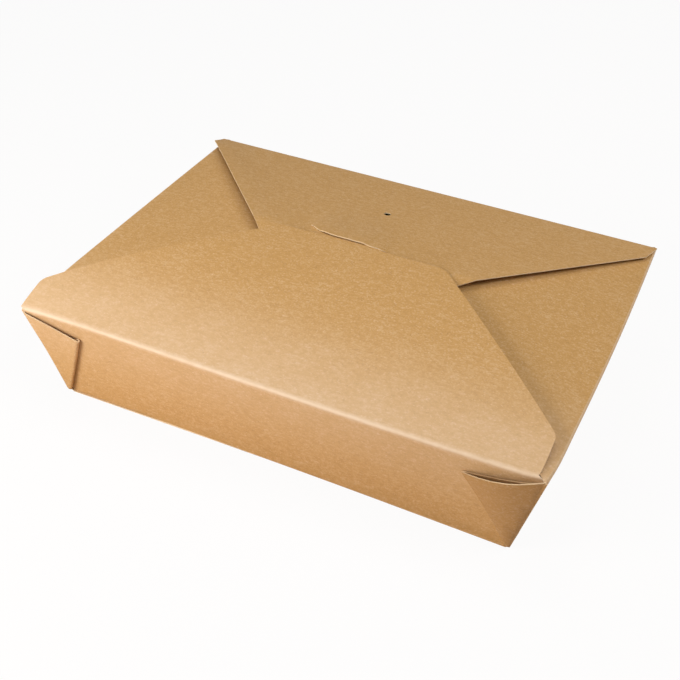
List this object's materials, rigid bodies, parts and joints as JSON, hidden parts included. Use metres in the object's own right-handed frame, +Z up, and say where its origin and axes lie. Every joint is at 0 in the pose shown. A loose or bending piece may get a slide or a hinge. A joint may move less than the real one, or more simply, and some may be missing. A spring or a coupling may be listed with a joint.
{
  "type": "takeout box",
  "caption": "Folded brown paperboard takeout box with leaning walls, web corners folded on the outside and a front flap whose tongue tucks into a slit in the back flap.",
  "frame": {"origin": "middle of the base's underside, on the surface the box stands on", "axes": "+X along the front to the right, +Y from the front to the back, +Z up"},
  "size_m": [0.218, 0.162, 0.058],
  "materials": {
    "carton_board": "matte brown board with fine fibres",
    "flap_board": "matte brown board with fine fibres"
  },
  "bodies": {
    "carton": {"carton": "carton_board"},
    "front_flap": {"front_flap": "flap_board"}
  },
  "joints": [
    {"name": "front_flap_hinge", "type": "hinge", "parent": "carton", "child": "front_flap", "pos_m": [0, -0.07925, 0.0476], "axis": [1, 0, 0], "range_deg": [0, 180]}
  ]
}
